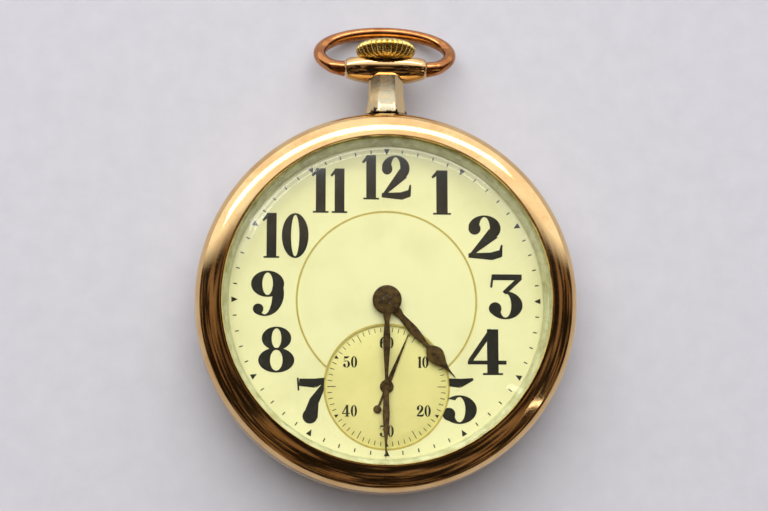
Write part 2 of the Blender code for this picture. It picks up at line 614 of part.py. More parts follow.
def going_train():
    """Centre, third, fourth and escape wheels, each on an arbor with its pinion."""
    wheel("centre_wheel", "brass", M_CENTRE, T_CENTRE, 3.7, 3.95, CENTRE, 0.55)
    leafed("centre_arbor", CENTRE, M_BARREL, T_CENTRE_PINION, (5.1, 5.85),
           [(2.3, 0.28), (3.1, 0.28), (3.12, 0.5), (5.09, 0.5), (5.87, 0.4), (9.6, 0.35)])
    wheel("third_wheel", "brass", M_THIRD, T_THIRD, 5.2, 5.42, THIRD, 0.35)
    leafed("third_arbor", THIRD, M_CENTRE, T_THIRD_PINION, (3.55, 4.1),
           [(2.4, 0.2), (3.08, 0.2), (3.1, 0.3), (3.54, 0.3), (4.11, 0.3), (5.8, 0.3), (5.82, 0.2), (7.0, 0.2)])
    wheel("fourth_wheel", "brass", M_FOURTH, T_FOURTH, 4.3, 4.52, FOURTH, 0.33)
    leafed("fourth_arbor", FOURTH, M_THIRD, T_FOURTH_PINION, (5.0, 5.6),
           [(2.4, 0.2), (3.08, 0.2), (3.1, 0.28), (4.99, 0.28), (5.61, 0.28), (5.82, 0.28), (5.84, 0.2),
            (8.95, 0.16)])
    tip = ESCAPE_R
    tooth = ((tip - 0.75, 0), (tip, 8), (tip, 10), (tip - 0.75, 7))
    teeth = [polar((0, 0), radius, 24 * k + a) for k in range(T_ESCAPE) for radius, a in tooth]
    flat("escape_wheel", "steel", [teeth, circle(0.3, 10), *windows(0.9, 2.3, 4, 0.45)], 5.1, 5.35, ESCAPE)
    leafed("escape_arbor", ESCAPE, M_FOURTH, T_ESCAPE_PINION, (4.15, 4.7),
           [(2.4, 0.16), (3.08, 0.16), (3.1, 0.25), (4.14, 0.25), (4.71, 0.25), (5.8, 0.25), (5.82, 0.16),
            (7.0, 0.16)])


def escapement():
    """Pallet fork, balance with its staff and roller, hairspring and regulator."""
    back = degrees(LEVER_ANGLE) + 180
    left, right = polar((0, 0), 1.9, back - 62), polar((0, 0), 1.9, back + 62)
    tips = [polar((0, 0), 2.3, back - 52), polar((0, 0), 2.3, back + 52)]
    ahead = degrees(LEVER_ANGLE)
    notch = polar((0, 0), FORK_LENGTH - 0.9, ahead)
    prongs = [polar((0, 0), FORK_LENGTH - 0.45, ahead - 8), polar((0, 0), FORK_LENGTH - 0.45, ahead - 2.5), notch,
              polar((0, 0), FORK_LENGTH - 0.45, ahead + 2.5), polar((0, 0), FORK_LENGTH - 0.45, ahead + 8)]
    right_side = [polar((0, 0), 0.55, ahead - 60), polar((0, 0), FORK_LENGTH - 1.2, ahead - 3.5)]
    left_side = [polar((0, 0), FORK_LENGTH - 1.2, ahead + 3.5), polar((0, 0), 0.55, ahead + 60), left, tips[0]]
    heel = [polar((0, 0), 1.6, back - 50), polar((0, 0), 0.6, back), polar((0, 0), 1.6, back + 50), tips[1], right]
    fork = right_side + prongs + left_side + heel
    flat("pallet_fork", "steel", [fork, circle(0.22, 8)], 4.83, 5.05, PALLET)
    turned("pallet_arbor", "steel", [(0, 6.9), (0.17, 6.9), (0.17, 3.9), (0, 3.9)], (*PALLET, 0), steps=10)
    halves = [[polar((0, 0), BALANCE_R - 0.7, a + f) for f in range(5, 180, 17)]
              + [polar((0, 0), 1.0, a + f) for f in (140, 90, 40)] for a in (0, 180)]
    flat("balance_wheel", "brass", [circle(BALANCE_R, 40), circle(0.34, 8), *halves], 3.0, 3.5, BALANCE)
    staff = [(0, 6.9), (0.17, 6.9), (0.17, 5.75), (0.3, 5.7), (0.3, 2.3), (0.17, 2.25), (0.17, 1.65), (0, 1.65)]
    turned("balance_staff", "steel", staff, (*BALANCE, 0), steps=12)
    disc("roller", "steel", 1.0, 4.55, 4.78, BALANCE, hole=0.34, steps=16)
    turns, inner, outer, thick = 6, 0.5, 3.3, 0.07
    along = [k / (turns * 11) for k in range(turns * 11 + 1)]
    outside = [polar((0, 0), inner + thick + (outer - inner) * t, 360 * turns * t) for t in along]
    inside = [polar((0, 0), inner + (outer - inner) * t, 360 * turns * t) for t in along]
    flat("hairspring", "blued steel", [outside + inside[::-1]], 2.5, 2.7, BALANCE)
    index = capsule((0, 0), (-3.6, -1.2), 1.2, 0.2, 8)
    flat("regulator", "steel", [index, circle(0.6, 12)], 1.25, 1.5, BALANCE)


def motion_work():
    """Cannon pinion, minute wheel and hour wheel, which turn the hands."""
    tip = pitch(M_MINUTE, T_CANNON) - SHORT
    flare = [(7.6, [tip, tip - 0.2] * T_CANNON), (7.9, [tip, tip - 0.2] * T_CANNON),
             (7.92, [0.62] * (2 * T_CANNON)), (9.95, [0.62] * (2 * T_CANNON))]
    cannon = lofted("cannon_pinion", "steel", flare)
    cut(cannon, peg("cannon bore", *CENTRE, 0.43, 7, 9.7))
    minute = to_mesh(wheel("minute_wheel", "brass", M_MINUTE, T_MINUTE, 7.6, 7.85, MINUTE, 0.36, spokes=0))
    leaves = pitch(M_HOUR, T_MINUTE_PINION) - SHORT
    join(minute, flat("minute pinion", None, [teeth_outline(T_MINUTE_PINION, leaves, leaves - 0.2, 0.35),
                                              circle(0.36, 12)], 7.8, 8.2, MINUTE))
    hour = to_mesh(wheel("hour_wheel", "brass", M_HOUR, T_HOUR, 7.98, 8.2, CENTRE, 0.72, spokes=0))
    join(hour, disc("hour pipe", None, 1.0, 8.1, 9.4, hole=0.72, steps=12))


def build():
    for piece in (case_back, case_centre, bezel, crystal, pendant, pendant_sleeve, crown, stem, bow, main_plate,
                  bridges, small_bridges, screws, dials, hands, barrel, winding_work, going_train, escapement,
                  motion_work):
        piece()


build()
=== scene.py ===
"""Surface shapes and finishes for the open face pocket watch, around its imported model.

Lengths are millimetres in the functions and become metres where a mesh is made. The watch lies on
its back: +Z is the dial's normal and +Y points to the crown.
"""
import json

import bmesh
import bpy
import numpy as np
from mathutils import Matrix, Vector


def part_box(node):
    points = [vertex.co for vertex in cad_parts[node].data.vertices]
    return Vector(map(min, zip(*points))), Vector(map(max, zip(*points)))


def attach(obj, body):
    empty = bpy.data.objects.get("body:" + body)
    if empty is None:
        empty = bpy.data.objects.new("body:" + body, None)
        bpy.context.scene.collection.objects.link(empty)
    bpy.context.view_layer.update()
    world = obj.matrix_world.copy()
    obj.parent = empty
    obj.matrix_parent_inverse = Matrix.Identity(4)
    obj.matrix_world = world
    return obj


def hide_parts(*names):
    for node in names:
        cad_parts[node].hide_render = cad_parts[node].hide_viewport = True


bl_info = {
    "name": "Pocket watch finishes",
    "version": (1, 0, 0),
    "blender": (4, 5, 0),
    "location": "3D View > Sidebar > Watch",
    "description": "Builds the visible surfaces of an open face pocket watch around its model",
    "category": "Object",
}

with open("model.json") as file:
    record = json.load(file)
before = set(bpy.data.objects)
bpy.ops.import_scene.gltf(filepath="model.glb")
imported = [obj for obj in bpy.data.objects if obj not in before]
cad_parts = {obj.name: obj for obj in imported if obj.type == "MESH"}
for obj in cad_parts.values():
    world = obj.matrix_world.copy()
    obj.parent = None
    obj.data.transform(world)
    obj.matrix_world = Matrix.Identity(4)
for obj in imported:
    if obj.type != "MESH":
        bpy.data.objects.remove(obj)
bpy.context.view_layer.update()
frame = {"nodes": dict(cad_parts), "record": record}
MM = 0.001


def low(node, axis):
    """A CAD node's lowest coordinate on one axis, in millimetres."""
    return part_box(node)[0][axis] / MM


def high(node, axis):
    """A CAD node's highest coordinate on one axis, in millimetres."""
    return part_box(node)[1][axis] / MM


X, Y, Z = 0, 1, 2
CASE_R = high("case_centre", X)
BEZEL_R = high("bezel", X)
BEZEL_TOP = high("bezel", Z)
BAND = (low("case_centre", Z), high("case_centre", Z))
GLASS_TOP = high("crystal", Z)
DIAL_TOP = high("dial", Z)
DIAL_R = 21.2
SUNK_TOP = high("seconds_dial", Z)
SUNK_R = (high("seconds_dial", X) - low("seconds_dial", X)) / 2
SUNK_Y = (high("seconds_dial", Y) + low("seconds_dial", Y)) / 2
STEM_Z = (high("crown", Z) + low("crown", Z)) / 2
CROWN_Y = (low("crown", Y), high("crown", Y))
CROWN_R = high("crown", X)
HEAD_HALF = high("pendant", X)
HEAD_Y = 32.0
OPENING_R = 22.0               # radius of the bezel's opening
BACK_FLAT_R = 13.0
PRINT = 0.02                   # thickness of the printing on the dial
STROKE_STEP = 0.0015           # each stroke of a numeral tops the last by this, so none share a height
SUNK_OPENING_R = 8.0           # radius of the round opening over the seconds dial
GOLD_LINE = 0.26               # width of the fine gold rings
HAND_THICK = 0.2               # thickness of the hour and minute hands


# ---- settings ----------------------------------------------------------------------------------
def millimetres(label, text, default, least, most):
    """A length that a user may change."""
    return bpy.props.FloatProperty(name=label, description=text + ", in millimetres", default=default,
                                   min=least, max=most)


class WatchSizes(bpy.types.PropertyGroup):
    """Sizes of the printing and of the fine relief, in millimetres."""
    numeral_height: millimetres("Numeral height", "Height of an hour numeral", 6.0, 3.0, 8.0)
    numeral_radius: millimetres("Numeral radius", "Dial centre to a numeral's middle", 16.45, 12.0, 18.0)
    track_radius: millimetres("Minute track radius", "Radius of the minute marks", 19.95, 18.0, 20.5)
    chapter_radius: millimetres("Chapter ring radius", "Radius of the fine gold ring", 11.8, 9.0, 14.0)
    seconds_radius: millimetres("Seconds ring radius", "Radius of the seconds marks", 7.75, 5.0, 7.9)
    crown_ridges: bpy.props.IntProperty(name="Crown ridges", description="Ridges round the crown", default=30,
                                        min=12, max=60)


def colour_property(label, text, default):
    """A colour that a user may change."""
    return bpy.props.StringProperty(name=label, description=text + ", as an sRGB hex value", default=default)


class WatchColours(bpy.types.PropertyGroup):
    """Colours of the finishes."""
    case: colour_property("Case", "Rolled gold of the case", "E8C48A")
    worn: colour_property("Worn case", "Where the gold has darkened", "D3A468")
    crown: colour_property("Crown", "Gold of the crown", "E8CC78")
    head: colour_property("Pendant head", "Pale gold of the pendant", "DDBB84")
    neck: colour_property("Neck", "Base metal showing on the neck", "C2BA9C")
    bow: colour_property("Bow", "Coppery gold of the bow", "C08250")
    dial: colour_property("Dial", "Enamel of the dial", "E3DEAC")
    seconds: colour_property("Seconds dial", "Enamel of the sunk dial", "DCD28A")
    ink: colour_property("Ink", "Numerals and marks", "17150F")
    gold_ink: colour_property("Gold line", "Fine rings on the dial", "B8A54E")
    hands: colour_property("Hands", "Steel under the rust", "2C1F10")
    rust: colour_property("Rust", "Rust on the hands", "57401A")
    floor: colour_property("Floor", "Card under the watch", "AFAEB3")


def sizes():
    """The sizes as the user has set them."""
    return bpy.context.scene.watch_sizes


def colours():
    """The colours as the user has set them."""
    return bpy.context.scene.watch_colours


# ---- meshes ------------------------------------------------------------------------------------
def grid_faces(rows, columns, close_rows=False, close_columns=False):
    """Quads of a grid of rows by columns, wrapped round where it closes."""
    r = np.arange(rows if close_rows else rows - 1)
    c = np.arange(columns if close_columns else columns - 1)
    r, c = (a.ravel() for a in np.meshgrid(r, c, indexing="ij"))
    r2, c2 = (r + 1) % rows, (c + 1) % columns
    return np.stack([r * columns + c, r * columns + c2, r2 * columns + c2, r2 * columns + c], 1)


def surface(points, close_rows=False, close_columns=False):
    """A patch from a (rows, columns, 3) array of points, as vertices and quads."""
    rows, columns = points.shape[:2]
    return points.reshape(-1, 3), grid_faces(rows, columns, close_rows, close_columns)


def capped(points):
    """A bar from a (rows, 4, 3) array: closed round its section, with its two ends filled."""
    verts, faces = surface(points, close_columns=True)
    last = len(verts) - 4
    return verts, np.vstack([faces, [[0, 1, 2, 3]], [[last, last + 1, last + 2, last + 3]]])


def make(name, patches, material, body, replaces=(), sharp=35):
    """One object from patches: doubles merged, normals outwards, smooth but for sharp edges."""
    offset, verts, faces = 0, [], []
    if not all(np.isfinite(points).all() for points, _ in patches):
        raise ValueError(f"{name}: its sizes give points that are not numbers")
    for points, quads in patches:
        verts.append(points * MM)
        faces.append(quads + offset)
        offset += len(points)
    mesh = bpy.data.meshes.new(name)
    mesh.from_pydata(np.vstack(verts).tolist(), [], np.vstack(faces).tolist())
    work = bmesh.new()
    work.from_mesh(mesh)
    bmesh.ops.remove_doubles(work, verts=work.verts, dist=0.0000005)
    bmesh.ops.dissolve_degenerate(work, edges=work.edges, dist=0.0000001)
    bmesh.ops.recalc_face_normals(work, faces=work.faces)
    work.to_mesh(mesh)
    work.free()
    mesh.shade_smooth()
    mesh.set_sharp_from_angle(angle=np.radians(sharp))
    obj = bpy.data.objects.new(name, mesh)
    bpy.context.scene.collection.objects.link(obj)
    mesh.materials.append(material)
    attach(obj, body)
    if replaces:
        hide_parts(*replaces)


def arc(centre, radii, start, end, count):
    """Points of an ellipse's arc between two angles in degrees."""
    t = np.radians(np.linspace(start, end, count))
    return np.stack([centre[0] + radii[0] * np.cos(t), centre[1] + radii[1] * np.sin(t)], 1)


def turned(profile, steps, centre=(0, 0)):
    """A closed (radius, height) profile turned about Z: row i, column j is its point i at angle j."""
    t = np.linspace(0, 2 * np.pi, steps, endpoint=False)
    r, z = np.asarray(profile, float).T
    points = np.stack([centre[0] + np.outer(r, np.cos(t)), centre[1] + np.outer(r, np.sin(t)),
                       np.repeat(z[:, None], steps, 1)], 2)
    return surface(points, close_rows=True, close_columns=True)


def slab(outer, inner, z0, z1, ring=False):
    """A flat band between two matching outlines, from height z0 to z1, closed all round."""
    rows = [np.column_stack([line, np.full(len(line), z)])
            for line, z in ((outer, z0), (outer, z1), (inner, z1), (inner, z0))]
    points = np.stack(rows, 1)
    return surface(points, close_rows=True, close_columns=True) if ring else capped(points)


def ring_slab(radius, width, z0, z1, centre=(0, 0), start=0, end=360, count=160):
    """A thin flat ring, or part of one between two angles."""
    whole = abs(end - start) >= 360
    stop = end - 360 / count if whole else end
    outer = arc(centre, (radius + width / 2,) * 2, start, stop, count)
    inner = arc(centre, (radius - width / 2,) * 2, start, stop, count)
    return slab(outer, inner, z0, z1, ring=whole)


def bar(x0, y0, x1, y1, w0, w1=None, points=9):
    """A straight stroke with its widths at both ends, as two matching outlines."""
    w1 = w0 if w1 is None else w1
    along = np.array([x1 - x0, y1 - y0], float)
    across = np.array([-along[1], along[0]]) / np.hypot(*along)
    line = np.linspace([x0, y0], [x1, y1], points)
    half = np.linspace([w0 / 2], [w1 / 2], points)
    return line + across * half, line - across * half


def bowl(cx, cy, a, b, a_in, b_in, start=0, end=360):
    """A curved stroke between two ellipses about one centre, from angle start to end."""
    count = max(8, int(abs(end - start) / 7))
    return arc((cx, cy), (a, b), start, end, count), arc((cx, cy), (a_in, b_in), start, end, count)


def ball(cx, cy, r):
    """A round terminal: a bowl whose inner ellipse is all but a point."""
    return bowl(cx, cy, r, r, 0.001, 0.001)


def turned_round(strokes):
    """Strokes turned half a turn about the middle of a numeral of height one."""
    return [(np.array([0, 1]) - outer, np.array([0, 1]) - inner) for outer, inner in strokes]


def six():
    """The strokes of a six: a full bowl, a back that curves over it, and a ball at its tip."""
    return [bowl(0, 0.29, 0.36, 0.29, 0.115, 0.245), bowl(0.06, 0.5, 0.42, 0.5, 0.165, 0.46, 62, 196),
            ball(0.2, 0.84, 0.115)]


# Fat-face numerals of height one on their baseline: half width, then strokes as pairs of outlines.
NUMERALS = {
    "0": (0.34, [bowl(0, 0.5, 0.34, 0.5, 0.105, 0.46)]),
    "1": (0.20, [bar(0.02, 0, 0.02, 1, 0.25), bar(-0.18, 0.02, 0.22, 0.02, 0.04),
                 bar(-0.2, 0.83, -0.06, 0.96, 0.05, 0.09)]),
    "2": (0.38, [bowl(-0.01, 0.71, 0.36, 0.29, 0.12, 0.25, 172, -38), ball(-0.23, 0.7, 0.135),
                 bar(0.19, 0.6, -0.3, 0.13, 0.27, 0.07), bar(-0.37, 0.1, 0.16, 0.085, 0.1, 0.17),
                 bar(0.14, 0.085, 0.35, 0.15, 0.17, 0.16), bar(0.33, 0.1, 0.37, 0.34, 0.1, 0.04)]),
    "3": (0.38, [bar(-0.3, 0.93, 0.36, 0.93, 0.13), bar(-0.28, 0.97, -0.32, 0.7, 0.05),
                 bar(0.31, 0.9, -0.03, 0.58, 0.1), bowl(-0.01, 0.31, 0.38, 0.31, 0.13, 0.27, 100, -158),
                 ball(-0.235, 0.235, 0.14)]),
    "4": (0.42, [bar(0.12, 0, 0.12, 1, 0.25), bar(0.1, 0.98, -0.38, 0.3, 0.12, 0.1),
                 bar(-0.43, 0.27, 0.42, 0.27, 0.085), bar(-0.1, 0.02, 0.34, 0.02, 0.045)]),
    "5": (0.38, [bar(-0.27, 0.9, 0.02, 0.88, 0.17, 0.2), bar(0.0, 0.88, 0.3, 0.97, 0.2, 0.05),
                 bar(-0.25, 0.95, -0.27, 0.5, 0.05), bowl(-0.01, 0.31, 0.38, 0.31, 0.13, 0.27, 132, -158),
                 ball(-0.24, 0.21, 0.14)]),
    "6": (0.36, six()),
    "7": (0.36, [bar(-0.3, 0.88, 0.05, 0.86, 0.16, 0.2), bar(0.03, 0.86, 0.35, 0.96, 0.2, 0.07),
                 bar(-0.33, 0.98, -0.31, 0.7, 0.04), bar(0.3, 0.93, 0.02, 0.46, 0.06, 0.22),
                 bar(0.03, 0.5, -0.05, 0.14, 0.2, 0.32), ball(-0.06, 0.15, 0.16)]),
    "8": (0.39, [bowl(0, 0.745, 0.32, 0.255, 0.105, 0.215), bowl(0, 0.27, 0.39, 0.27, 0.135, 0.225)]),
    "9": (0.36, turned_round(six())),
}


def cleared(line, hole):
    """An outline with its points inside a round hole moved out to the hole's edge."""
    if hole is None:
        return line
    centre, radius = hole
    away = line - centre
    return centre + away * np.maximum(1, radius / np.linalg.norm(away, axis=1))[:, None]


def numeral(text, centre, height, z0, z1, squeeze=1.0, hole=None):
    """The slabs of a number, its middle at the centre; its digits stand a little apart."""
    gap = 0.07
    widths = [2 * NUMERALS[digit][0] * squeeze for digit in text]
    left = -(sum(widths) + gap * (len(text) - 1)) / 2
    patches = []
    for digit, width in zip(text, widths):
        middle = np.array([left + width / 2, -0.5])
        for k, (outer, inner) in enumerate(NUMERALS[digit][1]):
            ring = np.allclose(outer[0], outer[-1])
            last = -1 if ring else None
            lines = [cleared((side[:last] * [squeeze, 1] + middle) * height + centre, hole)
                     for side in (outer, inner)]
            patches.append(slab(*lines, z0, z1 + STROKE_STEP * k, ring))
        left += width + gap
    return patches


# Where each hour stands: degrees clockwise from twelve, and its share of the numerals' radius.
NUMERAL_PLACES = {12: (0, 1.0), 1: (26.5, 0.985), 2: (57, 0.945), 3: (87.8, 0.955), 4: (117, 0.9),
                  5: (144, 0.985), 7: (216.3, 0.985), 8: (245.5, 0.96), 9: (273, 0.95), 10: (302.6, 0.96),
                  11: (332.5, 1.0)}


def clock(centre, radius, turns):
    """The point at a share of a turn clockwise from twelve."""
    a = 2 * np.pi * turns
    return np.array([centre[0] + radius * np.sin(a), centre[1] + radius * np.cos(a)])


def radial_mark(centre, turns, r0, r1, w0, w1, z0, z1):
    """A mark along a radius, with its widths at both ends."""
    a, b = clock(centre, r0, turns), clock(centre, r1, turns)
    return slab(*bar(*a, *b, w0, w1, points=2), z0, z1)


def swept(path, radii, sides=24):
    """A round section carried square to a path that lies in one plane; a radius of nothing shuts an end."""
    path = np.asarray(path, float)
    tangent = np.gradient(path, axis=0)
    tangent /= np.linalg.norm(tangent, axis=1)[:, None]
    plane = np.cross(path[len(path) // 4] - path[0], path[-1] - path[0])
    up = plane / np.linalg.norm(plane)
    side = np.cross(tangent, up)
    t = np.linspace(0, 2 * np.pi, sides, endpoint=False)
    ring = side[:, None] * np.cos(t)[None, :, None] + up * np.sin(t)[None, :, None]
    points = path[:, None] + ring * np.asarray(radii)[:, None, None]
    return surface(points, close_columns=True)


# ---- materials ---------------------------------------------------------------------------------
def linear(hex_colour):
    """An sRGB hex value as linear red, green, blue and one."""
    value = np.array([int(hex_colour[i:i + 2], 16) for i in (0, 2, 4)]) / 255
    line = np.where(value <= 0.04045, value / 12.92, ((value + 0.055) / 1.055) ** 2.4)
    return (*line.tolist(), 1.0)


def per_mm(size):
    """The scale of a pattern whose features are this many millimetres across."""
    return 1 / (size * MM)


def add(tree, kind, settings=None, inputs=None):
    """Add a node with its settings, and its inputs as values or as links from other sockets."""
    made = tree.nodes.new(kind)
    for name, value in (settings or {}).items():
        setattr(made, name, value)
    for name, value in (inputs or {}).items():
        if isinstance(value, bpy.types.NodeSocket):
            tree.links.new(value, made.inputs[name])
        else:
            made.inputs[name].default_value = value
    return made


def start(name):
    """A new material: its tree, its shader, and the place of a point on the piece."""
    material = bpy.data.materials.new(name)
    material.use_nodes = True
    tree = material.node_tree
    place = add(tree, "ShaderNodeTexCoord").outputs["Object"]
    return material, tree, tree.nodes["Principled BSDF"], place


def noise(tree, place, size, detail=3.0, rough=0.55):
    """Uneven patches of about this size in millimetres."""
    return add(tree, "ShaderNodeTexNoise", None, {"Vector": place, "Scale": per_mm(size), "Detail": detail,
                                                  "Roughness": rough}).outputs["Fac"]


def ramp(tree, factor, low_value, high_value, low_at=0.4, high_at=0.6):
    """Stretch a pattern between two levels onto two values."""
    return add(tree, "ShaderNodeMapRange", None, {
        "Value": factor, "From Min": low_at, "From Max": high_at,
        "To Min": low_value, "To Max": high_value}).outputs["Result"]


def blend_colours(tree, factor, first, second):
    """Mix two colours by a factor; each is a hex value or another node's colour."""
    inputs = {0: factor, 6: first if isinstance(first, bpy.types.NodeSocket) else linear(first),
              7: second if isinstance(second, bpy.types.NodeSocket) else linear(second)}
    return add(tree, "ShaderNodeMix", {"data_type": "RGBA"}, inputs).outputs[2]


def relief(tree, shader, height, depth, under=None):
    """Raise the surface by a pattern; depth is in millimetres."""
    inputs = {"Height": height, "Distance": depth * MM, "Strength": 1.0}
    if under is not None:
        inputs["Normal"] = under
    made = add(tree, "ShaderNodeBump", None, inputs)
    tree.links.new(made.outputs["Normal"], shader.inputs["Normal"])
    return made.outputs["Normal"]


def polished(name, bright, dark, roughness=0.09, scratch=0.0012, patch=5.0):
    """Polished plated metal: soft darkened patches, fine handling scratches and dull specks."""
    material, tree, shader, place = start(name)
    shader.inputs["Metallic"].default_value = 1.0
    patches = ramp(tree, noise(tree, place, patch), 0.0, 0.75, 0.42, 0.75)
    specks = ramp(tree, noise(tree, place, 0.5, 2.0), 0.0, 0.45, 0.6, 0.72)
    colour = blend_colours(tree, patches, bright, dark)
    tree.links.new(blend_colours(tree, specks, colour, dark), shader.inputs["Base Color"])
    stretched = add(tree, "ShaderNodeMapping", None, {"Vector": place, "Scale": (1.0, 9.0, 9.0),
                                                      "Rotation": (0.3, 0.2, 0.7)}).outputs["Vector"]
    scratches = noise(tree, stretched, 1.3, 5.0, 0.7)
    tree.links.new(ramp(tree, scratches, roughness * 0.7, roughness * 1.8, 0.4, 0.75),
                   shader.inputs["Roughness"])
    relief(tree, shader, scratches, scratch)
    return material


def tarnished(name, pale, dark):
    """Brass whose dull green-grey is painted reflection of the dial, in uneven patches, with only a weak
    sheen left.
    """
    material, tree, shader, place = start(name)
    shader.inputs["Metallic"].default_value = 0.3
    shader.inputs["Roughness"].default_value = 0.45
    # Both colours are the dial's green-grey painted in as a reflection; the noise only makes the tone uneven.
    wall_mottle = ramp(tree, noise(tree, place, 1.5, 5.0), 0.0, 1.0, 0.42, 0.7)
    tree.links.new(blend_colours(tree, wall_mottle, pale, dark), shader.inputs["Base Color"])
    relief(tree, shader, noise(tree, place, 0.3, 3.0), 0.008)
    return material


def enamel(name, colour, stain, grooves_at=None):
    """Vitreous enamel fired on copper: a soft gloss, faint stains and, on the sunk dial, fine rings."""
    material, tree, shader, place = start(name)
    cloud = ramp(tree, noise(tree, place, 6.0, 4.0), 0.0, 0.3, 0.45, 0.75)
    pits = ramp(tree, noise(tree, place, 0.35, 2.0), 0.0, 0.4, 0.66, 0.76)
    base = blend_colours(tree, cloud, colour, stain)
    tree.links.new(blend_colours(tree, pits, base, stain), shader.inputs["Base Color"])
    shader.inputs["Roughness"].default_value = 0.42
    shader.inputs["Coat Weight"].default_value = 0.25
    shader.inputs["Coat Roughness"].default_value = 0.2
    normal = relief(tree, shader, noise(tree, place, 1.2, 3.0), 0.006)
    if grooves_at:
        # A wave repeats each 0.314 of its size, so the rings are 1.9 mm apart, coarser than turned grooves.
        centred = add(tree, "ShaderNodeMapping", None, {
            "Vector": place, "Location": (0, -grooves_at * MM, 0)}).outputs["Vector"]
        rings = add(tree, "ShaderNodeTexWave", {"wave_type": "RINGS", "rings_direction": "Z"},
                    {"Vector": centred, "Scale": per_mm(6.0)}).outputs["Fac"]
        relief(tree, shader, rings, 0.006, normal)
    return material


def ink(name, colour, roughness=0.5):
    """Printed enamel ink, thinned in places where it was fired."""
    material, tree, shader, place = start(name)
    worn = ramp(tree, noise(tree, place, 0.5, 4.0), 0.0, 0.35, 0.5, 0.8)
    tree.links.new(blend_colours(tree, worn, colour, "4A452F"), shader.inputs["Base Color"])
    shader.inputs["Roughness"].default_value = roughness
    return material


def rusted(name):
    """Blued steel that has rusted: dark skin with rough brown bloom."""
    material, tree, shader, place = start(name)
    bloom = ramp(tree, noise(tree, place, 0.7, 6.0, 0.7), 0.0, 1.0, 0.4, 0.62)
    tree.links.new(blend_colours(tree, bloom, colours().hands, colours().rust), shader.inputs["Base Color"])
    tree.links.new(ramp(tree, bloom, 0.35, 0.0, 0.0, 1.0), shader.inputs["Metallic"])
    tree.links.new(ramp(tree, bloom, 0.42, 0.8, 0.0, 1.0), shader.inputs["Roughness"])
    shader.inputs["Specular IOR Level"].default_value = 0.3
    relief(tree, shader, noise(tree, place, 0.18, 4.0), 0.02)
    return material


def worn_neck(name):
    """Pale gold rubbed through to nickel on the flat that faces up, gold left in the corners."""
    material, tree, shader, place = start(name)
    shader.inputs["Metallic"].default_value = 1.0
    face = add(tree, "ShaderNodeSeparateXYZ", None, {
        "Vector": add(tree, "ShaderNodeNewGeometry").outputs["Normal"]}).outputs["Z"]
    rubbed = add(tree, "ShaderNodeMath", {"operation": "ADD"}, {
        0: ramp(tree, face, 0.0, 0.8, 0.55, 0.9),
        1: ramp(tree, noise(tree, place, 0.8, 5.0), -0.3, 0.3, 0.35, 0.65)})
    skin = blend_colours(tree, rubbed.outputs[0], colours().head, colours().neck)
    along = add(tree, "ShaderNodeSeparateXYZ", None, {"Vector": place}).outputs["Y"]
    # Grime is thickest at the foot, where the neck meets the band.
    foot = ramp(tree, along, 0.26, -0.05, 25.2 * MM, 26.4 * MM)
    grime = add(tree, "ShaderNodeMath", {"operation": "ADD"}, {
        0: foot, 1: noise(tree, place, 0.9, 4.0)}).outputs[0]
    tree.links.new(blend_colours(tree, ramp(tree, grime, 0.0, 1.0, 0.66, 0.74), skin, "2A2015"),
                   shader.inputs["Base Color"])
    shader.inputs["Roughness"].default_value = 0.14
    relief(tree, shader, noise(tree, place, 0.5, 4.0), 0.008)
    return material


def glass(name):
    """Mineral glass: seen through, with its own gloss stronger at grazing angles."""
    material = bpy.data.materials.new(name)
    material.use_nodes = True
    tree = material.node_tree
    tree.nodes.remove(tree.nodes["Principled BSDF"])
    clear = add(tree, "ShaderNodeBsdfTransparent", None, {"Color": (0.975, 0.985, 0.96, 1)})
    gloss = add(tree, "ShaderNodeBsdfGlossy", None, {"Color": (1, 1, 1, 1), "Roughness": 0.03})
    edge_on = add(tree, "ShaderNodeLayerWeight", None, {"Blend": 0.5}).outputs["Facing"]
    rise = add(tree, "ShaderNodeMath", {"operation": "POWER"}, {0: edge_on, 1: 5.0}).outputs[0]
    share = add(tree, "ShaderNodeMath", {"operation": "MULTIPLY_ADD"}, {0: rise, 1: 0.96, 2: 0.04}).outputs[0]
    mixed = add(tree, "ShaderNodeMixShader", None, {0: share, 1: clear.outputs[0], 2: gloss.outputs[0]})
    tree.links.new(mixed.outputs[0], tree.nodes["Material Output"].inputs["Surface"])
    return material


def striped_nickel(name):
    """Damaskeened nickel: broad polished stripes over a grained plate."""
    material, tree, shader, place = start(name)
    shader.inputs["Metallic"].default_value = 1.0
    stripes = add(tree, "ShaderNodeTexWave", {"wave_profile": "SIN"}, {
        "Vector": add(tree, "ShaderNodeMapping", None, {
            "Vector": place, "Rotation": (0, 0, 0.7)}).outputs["Vector"],
        "Scale": per_mm(8.0), "Distortion": 0.6}).outputs["Fac"]
    tree.links.new(blend_colours(tree, stripes, "B9B4A6", "DAD6CB"), shader.inputs["Base Color"])
    tree.links.new(ramp(tree, stripes, 0.22, 0.42, 0.0, 1.0), shader.inputs["Roughness"])
    relief(tree, shader, noise(tree, place, 0.15, 3.0), 0.004)
    return material


def card(name, colour):
    """Matt card under the watch, with a faint tooth."""
    material, tree, shader, place = start(name)
    tone = ramp(tree, noise(tree, place, 3.0, 4.0), 0.0, 0.12, 0.3, 0.7)
    tree.links.new(blend_colours(tree, tone, colour, "D2D1D6"), shader.inputs["Base Color"])
    shader.inputs["Roughness"].default_value = 0.9
    return material


